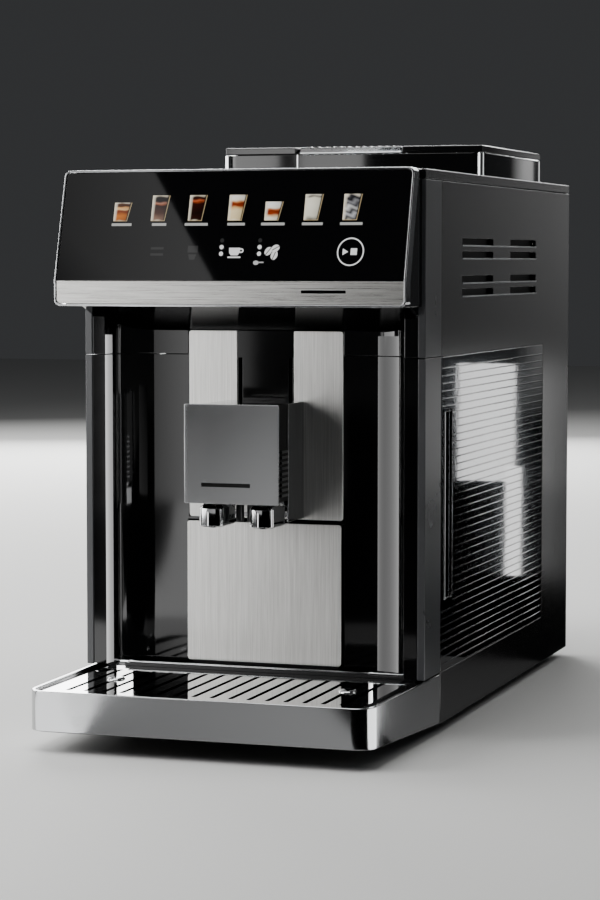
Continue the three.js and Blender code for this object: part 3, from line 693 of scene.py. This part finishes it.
def makeTankRibs():
    # the ribbed outer wall of the tank: half-round bars, broken off around the grip pocket
    low, high = boxMm("water_tank")
    x, front, rear = high[0] - 0.02, low[1], high[1]
    pitch, foot = tankRibs["pitch"], tankRibs["foot"]
    pocket = [front + offset for offset in tankRibs["pocket"]]
    count = int((tankRibs["top"] - foot) / pitch)
    below = int((tankRibs["pocketLow"] - foot) / pitch)
    above = int((tankRibs["top"] - tankRibs["pocketHigh"]) / pitch)
    split = pocket[1] + 1.2
    rows = []
    for y0, y1, first, number in (
        (split, rear - 2.0, 0, count),
        (front + 1.2, split, 0, below),
        (front + 1.2, split, count - above, above),
    ):
        size = (tankRibs["rise"], y1 - y0, tankRibs["tall"])
        rows.append(((x, (y0 + y1) / 2, foot + pitch * first), (0, 0, pitch), size, number))
    growBars("water_tank_ribs", "water_tank", "smokedClear", rows, alongY, 14)
    tall = tankRibs["pocketHigh"] - tankRibs["pocketLow"] - 2
    middle = (tankRibs["pocketLow"] + tankRibs["pocketHigh"]) / 2
    for name, y, finish in (("front", pocket[0], "satinChrome"), ("rear", pocket[1], "clearLid")):
        # the lips down both sides of the pocket: the front one catches the light
        lip = [((x, y, middle), (0, 1, 0), (*tankRibs["lip"], tall), 1)]
        growBars("water_tank_lip_" + name, "water_tank", finish, lip, alongZ, 14)


makeTankRibs()
print("tank ribs grown")

nozzles = {
    "x": 17.6,
    "rear": -161.0,
    "sections": [
        # (height, half width, front)
        (141.6, 7.3, -187.9),
        (142.4, 8.3, -189.0),
        (153.6, 8.3, -189.0),
        (154.2, 8.0, -188.6),
        (158.6, 4.8, -183.0),
        (166.0, 4.4, -182.0),
    ],
    "corner": 5.2,
    "steps": 9,
    "bow": 0.7,  # how far the front stands out in its middle
    "tip": {"radius": 2.7, "low": 140.8, "high": 143.0, "y": -181.0},
    "milk": {"x": 3.9, "radius": 2.7, "low": 143.4, "high": 158.0, "y": -166.0},
    "blocks": [
        # behind and between the pods: (left, right, front, rear, low and high at the front, then at the rear)
        (-25.6, -9.4, -174, -132, 158.4, 170, 146.5, 158),
        (9.4, 25.6, -174, -132, 158.4, 170, 146.5, 158),
        (-10, 10, -176, -150, 157.2, 170, 148.5, 160),
    ],
}


def podOutline(half, front, rear, corner, steps):
    # a block in plan with a slightly bowed front and rounded front corners, from rear left to rear right
    points = [(-half, rear)]
    for side in (-1, 1):
        centre = (side * (half - corner), front + corner + nozzles["bow"])
        for n in range(steps + 1):
            turn = (1.0 if side < 0 else 1.5) * math.pi + (math.pi / 2) * n / steps
            points.append((centre[0] + corner * math.cos(turn), centre[1] + corner * math.sin(turn)))
        if side < 0:
            points.append((0.0, front))
    points.append((half, rear))
    return points


def loft(bm, rings):
    # skins closed rings of equal length and caps both ends
    made = [[bm.verts.new(Vector(point) * mm) for point in ring] for ring in rings]
    for low, high in zip(made, made[1:]):
        for n in range(len(low)):
            k = (n + 1) % len(low)
            bm.faces.new((low[n], low[k], high[k], high[n]))
    bm.faces.new(list(reversed(made[0])))
    bm.faces.new(made[-1])


def circleRing(x, y, z, radius, steps=20):
    turns = [2 * math.pi * n / steps for n in range(steps)]
    return [(x + radius * math.cos(turn), y + radius * math.sin(turn), z) for turn in turns]


def makeNozzles():
    bm = bmesh.new()
    for side in (-1, 1):
        rings = []
        for z, half, front in nozzles["sections"]:
            corner = min(nozzles["corner"], half - 0.3)
            plan = podOutline(half, front, nozzles["rear"], corner, nozzles["steps"])
            rings.append([(side * nozzles["x"] + x, y, z) for x, y in plan])
        loft(bm, rings)
    for left, right, front, rear, frontLow, frontHigh, rearLow, rearHigh in nozzles["blocks"]:
        # each block slopes down to the rear
        loft(bm, [[(left, front, a), (right, front, a), (right, rear, b), (left, rear, b)]
                  for a, b in ((frontLow, rearLow), (frontHigh, rearHigh))])
    body = addPiece("nozzle_block_fine", bm, "nozzle_block", "brightChrome")
    bevelled(body, 0.35, 2, 30)
    tip, milk = nozzles["tip"], nozzles["milk"]
    bm = bmesh.new()
    for side in (-1, 1):
        rounded = [(tip["low"], tip["radius"] - 0.4), (tip["low"] + 0.5, tip["radius"]),
                   (tip["high"], tip["radius"])]
        loft(bm, [circleRing(side * nozzles["x"], tip["y"], z, radius) for z, radius in rounded])
        # milk outlets, in a dark pair between the coffee outlets
        rounded = [(milk["low"], milk["radius"] - 0.6), (milk["low"] + 0.8, milk["radius"]),
                   (milk["high"], milk["radius"])]
        loft(bm, [circleRing(side * milk["x"], milk["y"], z, radius) for z, radius in rounded])
    addPiece("nozzle_tips", bm, "nozzle_block", "blackSilicone", replace=False)


makeNozzles()
print("nozzles shaped")

lidRibs = {"pitch": 5.8, "width": 3.4, "rise": 1.0, "margin": 5.0, "short": 3.0, "sunk": 0.1}


def makeLidRibs():
    # moulded ribs over the clear bean lid, running from front to rear
    low, high = boxMm("bean_lid")
    margin, pitch = lidRibs["margin"], lidRibs["pitch"]
    count = int((high[0] - low[0] - 2 * margin) / pitch) + 1
    middle = ((low[0] + high[0]) / 2, (low[1] + high[1]) / 2)
    start = (middle[0] - pitch * (count - 1) / 2, middle[1], high[2] - lidRibs["sunk"])
    size = (lidRibs["width"], high[1] - low[1] - lidRibs["short"], lidRibs["rise"])
    growBars("bean_lid_ribs", "bean_lid", "clearLid", [(start, (pitch, 0, 0), size, count)], alongY)


fingerRibs = {"low": 162.0, "pitch": 3.6, "count": 9, "size": (1.6, 12.0, 2.0), "fromRear": 8.5, "sunk": 0.1}


def makeFingerRibs():
    # grip ribs on each side of the spout's pull-off cover
    low, high = boxMm("spout_cover")
    rows = []
    for x in (low[0] + fingerRibs["sunk"], high[0] - fingerRibs["sunk"]):
        start = (x, high[1] - fingerRibs["fromRear"], fingerRibs["low"])
        rows.append((start, (0, 0, fingerRibs["pitch"]), fingerRibs["size"], fingerRibs["count"]))
    growBars("spout_cover_ribs", "spout_cover", "satinChrome", rows, alongY)


trayDetails = {
    "studs": ((-80.6, -196.6), (80.6, -196.6)),
    "studFoot": 1.6,  # how far a stud reaches down into the grid
    "dome": [(0, 6.0), (0.8, 6.0), (1.4, 5.4), (1.8, 4.2), (2.0, 2.2), (2.05, 0.6)],  # (height, radius)
    "bead": ((0, -139.0, 41.9), (222.0, 1.5, 1.5)),  # (middle, size)
}


def makeTrayDetails():
    # two domed studs that the grid is lifted by, and the bright bead along the tray's rear edge
    foot = boxMm("drip_grid")[1][2] - trayDetails["studFoot"]
    bm = bmesh.new()
    for x, y in trayDetails["studs"]:
        loft(bm, [circleRing(x, y, foot + up, radius, 28) for up, radius in trayDetails["dome"]])
    addPiece("grid_studs", bm, "drip_grid", "brightChrome", replace=False)
    middle, size = trayDetails["bead"]
    growBars("tray_rear_bead", "drip_tray", "brightChrome", [(middle, (1, 0, 0), size, 1)], alongX, 14)


screws = {
    "head": 6.4,
    "headThick": 1.0,
    "slot": (3.6, 0.8, 0.6),  # (length, width, thickness) of the black bars that paint the shade in each cross slot
    "rear": [(x, z) for x in (-108, 0, 108) for z in (16, 190, 358) if (x, z) != (0, 190)],
    "base": [(x, y) for x in (-98, 98) for y in (-60, 75, 205)],
}


def makeScrews():
    # cross-head screws in the rear cover and under the base: a flat round head; on the rear ones the shade in
    # the sunk cross slot is painted, as a cross of black bars standing on the head
    head, thick = screws["head"], screws["headThick"]
    long, wide, deep = screws["slot"]
    rear = boxMm("rear_cover")[1][1]
    heads = [((x, rear + 0.2, z), (0, 1, 0), (head, thick, head), 1) for x, z in screws["rear"]]
    # painted shade: black bars in the black rubber finish stand where the slot is a recess, which is dark only
    # from shade
    slots = [((x, rear + 0.45, z), (0, 1, 0), size, 1)
             for x, z in screws["rear"] for size in ((long, deep, wide), (wide, deep, long))]
    growBars("rear_screws", "rear_cover", "steelPolished", heads, alongY, 20)
    growBars("rear_screw_slots", "rear_cover", "blackRubber", slots, alongY, 4)
    under = boxMm("base_pan")[0][2]
    heads = [((x, y, under - 0.2), (0, 0, 1), (head, head, thick), 1) for x, y in screws["base"]]
    growBars("base_screws", "base_pan", "steelPolished", heads, alongZ, 20)


rearHoods = {"x": 42.5, "low": 256.2, "pitch": 14.0, "count": 6, "size": (77.0, 1.2, 2.4)}


def makeRearLouvres():
    # a half-round hood along the upper edge of each air slot of the rear cover
    rear = boxMm("rear_cover")[1][1]
    rows = []
    for side in (-1, 1):
        start = (side * rearHoods["x"], rear, rearHoods["low"])
        rows.append((start, (0, 0, rearHoods["pitch"]), rearHoods["size"], rearHoods["count"]))
    growBars("rear_louvres", "rear_cover", "satinBlackAbs", rows, alongX)


plainMarks = {
    # piece: (node, middle in X and Z, size)
    "face_mark": ("spout_face_plate", (-4.0, 170.0), (34.0, 0.24, 2.6)),
    "strip_mark": ("steel_trim_strip", (66.0, 296.4), (30.0, 0.24, 2.0)),
}


def makePlainMarks():
    # plain bars where a maker would put a name
    for name, (node, (x, z), size) in plainMarks.items():
        mark = ((x, boxMm(node)[0][1], z), (1, 0, 0), size, 1)
        growBars(name, node, "glossBlackAbs", [mark], alongX, 10)


vents = {
    "lowerEdges": (292.4, 301.4, 318.1, 327.0),
    "height": 4.5,
    "ends": (-62.6, 151.4),
    "lip": (0.7, 1.0),  # (rise, height) of the bright lower edge
    "bridge": (24.0, 74.0),
    "bridgeDepth": (0.6, 2.1),  # measured in from the panel's face, as is the shade block's
    # the shade block: a matt black block behind the slots, painted shade that keeps them dark
    "shadeBlockDepth": (5.6, 6.8),
    "shadeBlockMargins": (6.0, 8.0, 12.0),  # past the slots at their ends, below and above
}


def addBlock(bm, outside, side, depths, ends, heights):
    # an upright block behind a side panel's face
    inner, outer = sorted(outside - side * depth for depth in depths)
    corners = [(inner, ends[0]), (outer, ends[0]), (outer, ends[1]), (inner, ends[1])]
    loft(bm, [[(x, y, z) for x, y in corners] for z in heights])


def makeVents():
    # each slot has a bright lower lip and a bridge in its middle, and a matt black block behind the slots is
    # painted shade that hides the inside
    low, high = vents["ends"]
    edges, (rise, lipTall) = vents["lowerEdges"], vents["lip"]
    past, below, above = vents["shadeBlockMargins"]
    for side, panel in ((1, "right_side_panel"), (-1, "left_side_panel")):
        outside = boxMm(panel)[side > 0][0]
        size = (rise, high - low, lipTall)
        rows = [((outside, (low + high) / 2, z - lipTall / 2), (0, 0, 1), size, 1) for z in edges]
        growBars(panel + "_vent_lips", panel, "castAluminium", rows, alongY)
        bm = bmesh.new()
        for z in edges:
            heights = (z - 0.2, z + vents["height"] + 0.2)
            addBlock(bm, outside, side, vents["bridgeDepth"], vents["bridge"], heights)
        addPiece(panel + "_vent_bridges", bm, panel, replace=False)
        # painted shade: a black rubber block behind the slots stands in for the shade inside the machine
        bm = bmesh.new()
        heights = (edges[0] - below, edges[-1] + above)
        addBlock(bm, outside, side, vents["shadeBlockDepth"], (low - past, high + past), heights)
        bevelled(addPiece(panel + "_vent_shade_block", bm, panel, "blackRubber", replace=False), 0.3, 2)


hopperTrim = {
    "post": 5.4,
    "postInset": 2.2,
    "short": 2.0,  # how much lower than the block the posts are
    "seam": (-42.4, (1.6, 0.8)),  # (place, size) of the upright beside the ground coffee lid
    "lipMiddle": -1.65,
    "lipSize": (0.8, 1.0),
}


def makeHopperTrim():
    # chromed upright edges of the hopper block, and the bright lip under the bean lid
    low, high = boxMm("hopper_frame")
    inset, post, tall = hopperTrim["postInset"], hopperTrim["post"], high[2] - low[2] - hopperTrim["short"]
    z = (low[2] + high[2]) / 2 + 1.0
    posts = [(x, y) for x in (low[0] + inset, high[0] - inset) for y in (low[1] + inset, high[1] - inset)]
    rows = [((x, y, z), (0, 0, 1), (post, post, tall), 1) for x, y in posts]
    seam, seamSize = hopperTrim["seam"]
    rows.append(((seam, low[1], z), (0, 0, 1), (*seamSize, tall), 1))
    growBars("hopper_edges", "hopper_frame", "brightChrome", rows, alongZ, 24)
    low, high = boxMm("bean_lid")
    size = (high[0] - low[0] - 1, *hopperTrim["lipSize"])
    lip = ((hopperTrim["lipMiddle"], low[1] + 0.1, low[2] + 0.7), (1, 0, 0), size, 1)
    growBars("bean_lid_lip", "bean_lid", "brightChrome", [lip], alongX)


makeVents()
makeHopperTrim()
makeLidRibs()
makeFingerRibs()
makeTrayDetails()
makeScrews()
makeRearLouvres()
makePlainMarks()
print("small details grown")

# floor, lights and camera
stage = {
    "floorSize": 12.0,
    "floorColor": "d8d8d6",
    "worldColor": "c9ccd0",
    "worldStrength": 0.06,
}
camera = {
    "place": (0.5884, -1.8036, 0.3162),
    "aim": (0.0002, -0.0536, 0.1837),
    "lens": 105.4,
    "sensor": 36.0,
}
softboxes = {
    # name: (place, aim, (width, height), watts)
    "softboxBehind": ((-1.5, 2.2, 1.5), (0, 0.1, 0.2), (1.2, 1.2), 60),
    "softboxFarLeft": ((-2.2, 0.5, 0.9), (0, 0.05, 0.15), (1.4, 1.0), 45),
    "softboxBack": ((-1.0, 2.4, 0.8), (0, 0.1, 0.15), (1.4, 1.0), 50),
    "softboxTop": ((-0.2, -0.3, 1.7), (0, 0, 0.2), (1.2, 1.2), 24),
    "softboxLeft": ((-1.7, -1.0, 1.3), (0, -0.1, 0.2), (1.0, 1.0), 22),
    "softboxRear": ((1.1, 1.4, 1.5), (0.1, 0.1, 0.2), (1.0, 0.8), 5),
}
standingCards = {
    # (left corner, right corner, (low, high), glow at the lower left, lower right, upper right, upper left)
    "leftWide": ((-1.5, -0.75), (-0.80, -1.62), (0.0, 0.75), (8.0, 4.5, 4.5, 8.0)),
    "leftNarrow": ((-0.712, -1.62), (-0.57, -1.7), (0.0, 0.3), (3.8, 0.8, 0.8, 3.8)),
    "hopperGlow": ((-0.68, -1.5), (-0.455, -1.5), (0.36, 0.60), (4.2, 4.2, 4.2, 4.2)),
    "faceGlow": ((-0.080, -0.30), (0.0, -0.30), (0.140, 0.222), (0.26, 0.50, 0.24, 0.0)),
    "leftColumnGlow": ((-0.1025, -0.1425), (-0.0925, -0.1385), (0.02, 0.266), (6.5, 6.0, 6.0, 6.5)),
    "rightColumnGlow": ((0.0775, -0.1400), (0.0775, -0.1312), (0.02, 0.266), (1.3, 6.0, 6.0, 1.3)),
    "sideUpper": ((0.72, 2.5), (0.40, 2.5), (0.05, 0.75), (0.0, 0.0, 1.6, 0.0)),
    "edgeGlow": ((0.5, 2.5), (-0.6, 2.5), (0.82, 1.25), (4.0, 4.0, 4.0, 4.0)),
    "tankUpper": ((0.356, 0.8), (0.296, 0.8), (0.092, 0.212), (2.8, 2.8, 2.8, 2.8)),
    "tankLower": ((0.2935, 0.75), (0.277, 0.75), (0.0, 0.112), (3.2, 3.2, 3.2, 3.2)),
    "rightTall": ((1.3, -0.1), (1.15, 0.3), (0.0, 0.9), (2.5, 2.5, 2.5, 2.5)),
}
floorCards = {
    # cards lying on the floor, the black ones hiding it from the glossy faces: (height, glow, corners)
    "flagFront": (0.002, (0.0,) * 4, [(-3.0, -4.0), (1.5, -4.0), (1.5, -0.27), (-3.0, -0.27)]),
    "flagSide": (0.002, (0.0,) * 4, [(0.122, -0.27), (0.26, -0.27), (3.2, 6.0), (0.122, 6.0)]),
    "bandGlow": (0.004, (0.22, 0.42, 0.42, 0.25), [(-0.3, -0.6), (0, -0.6), (0.13, -0.268), (-0.08, -0.268)]),
    "bandLeftGlow": (0.004, (2.6,) * 4, [(-0.45, -0.6), (-0.225, -0.6), (-0.084, -0.268), (-0.3, -0.268)]),
    "backLeftGlow": (0.003, (3.4,) * 4, [(-0.705, -1.64), (-0.61, -1.64), (-0.12, -0.33), (-0.17, -0.33)]),
    "cornerGlow": (0.004, (3.6,) * 4, [(0.123, -0.252), (0.52, -0.33), (0.31, 0.14), (0.124, -0.236)]),
    "sideGlow": (0.003, (0.14, 0.12, 0.08, 0.08), [(0.124, -0.19), (0.2, -0.1), (0.24, 0.2), (0.124, 0.2)]),
}
glassCard = {
    # the softbox whose slanting edge shows in the control glass
    "edge": ((-0.054, 0.370), (-0.006, 0.299)),
    "distance": 1.6,
    "width": 0.22,
    "overrun": 0.25,
    "glow": (0.0, 0.6, 1.5, 0.0),
}


def addStageMesh(name, corners, material):
    bm = bmesh.new()
    bm.faces.new([bm.verts.new(corner) for corner in corners])
    mesh = bpy.data.meshes.new(name)
    bm.to_mesh(mesh)
    bm.free()
    mesh.materials.append(material)
    holder = bpy.data.objects.new(name, mesh)
    bpy.context.scene.collection.objects.link(holder)
    return holder


def makeFloor():
    half = stage["floorSize"] / 2
    # painted studio floor: quite matt, so that the cards lying on it leave no trace
    material, _, _ = newMaterial("matteFloor", stage["floorColor"], Roughness=0.9, Specular_IOR_Level=0.0)
    addStageMesh("floor", [(-half, -half, 0), (half, -half, 0), (half, half, 0), (-half, half, 0)], material)


def makeReflector(name, corners, glow):
    # a card that shows only in reflections, with its own glow at each corner
    material = bpy.data.materials.new(name + "Glow")
    material.use_nodes = True
    tree = material.node_tree
    tree.nodes.clear()
    strength = addNode(tree, "ShaderNodeAttribute", {"attribute_name": "glow"})
    emission = addNode(tree, "ShaderNodeEmission", links={"Strength": strength.outputs["Fac"]})
    addNode(tree, "ShaderNodeOutputMaterial", links={"Surface": emission.outputs["Emission"]})
    card = addStageMesh(name, corners, material)
    layer = card.data.attributes.new("glow", "FLOAT", "POINT")
    for index, value in enumerate(glow):
        layer.data[index].value = value
    card.visible_camera = False
    card.visible_diffuse = False
    card.visible_shadow = False


def makeReflectors():
    for name, (left, right, (low, high), glow) in standingCards.items():
        makeReflector(name, [(*left, low), (*right, low), (*right, high), (*left, high)], glow)
    for name, (height, glow, corners) in floorCards.items():
        makeReflector(name, [(*corner, height) for corner in corners], glow)


def makeGlassCard():
    # stands where the camera's view of the glass is mirrored to, with its edge along the chosen slant
    eye = Vector(camera["place"])
    points = []
    for x, z in glassCard["edge"]:
        spot = glassPoint(x, z)
        ray = (spot - eye).normalized()
        mirrored = ray - 2 * ray.dot(glassFront["normal"]) * glassFront["normal"]
        points.append(spot + mirrored * glassCard["distance"])
    along = (points[1] - points[0]).normalized()
    outward = along.cross(mirrored).normalized()
    if outward.x > 0:
        outward = -outward
    start = points[0] - along * glassCard["overrun"]
    end = points[1] + along * glassCard["overrun"]
    far = outward * glassCard["width"]
    makeReflector("glassCard", [start + far, start, end, end + far], glassCard["glow"])


def makeLight(name, place, aim, size, power, color="ffffff"):
    light = bpy.data.lights.new(name, "AREA")
    light.shape = "RECTANGLE"
    light.size, light.size_y = size
    light.energy = power
    light.color = linear(color)[:3]
    holder = bpy.data.objects.new(name, light)
    holder.location = place
    holder.rotation_euler = (Vector(aim) - Vector(place)).to_track_quat("-Z", "Y").to_euler()
    holder.visible_camera = False
    bpy.context.scene.collection.objects.link(holder)


def makeCamera():
    lens = bpy.data.cameras.new("camera")
    lens.lens = camera["lens"]
    lens.sensor_width = camera["sensor"]
    holder = bpy.data.objects.new("camera", lens)
    holder.location = camera["place"]
    aim = Vector(camera["aim"]) - Vector(camera["place"])
    holder.rotation_euler = aim.to_track_quat("-Z", "Y").to_euler()
    bpy.context.scene.collection.objects.link(holder)
    bpy.context.scene.camera = holder


def makeWorld():
    world = bpy.data.worlds.new("studio")
    world.use_nodes = True
    background = world.node_tree.nodes["Background"]
    background.inputs["Color"].default_value = linear(stage["worldColor"])
    background.inputs["Strength"].default_value = stage["worldStrength"]
    bpy.context.scene.world = world


makeFloor()
makeWorld()
for name, settings in softboxes.items():
    makeLight(name, *settings)
makeReflectors()
makeGlassCard()
makeCamera()
print("stage ready")
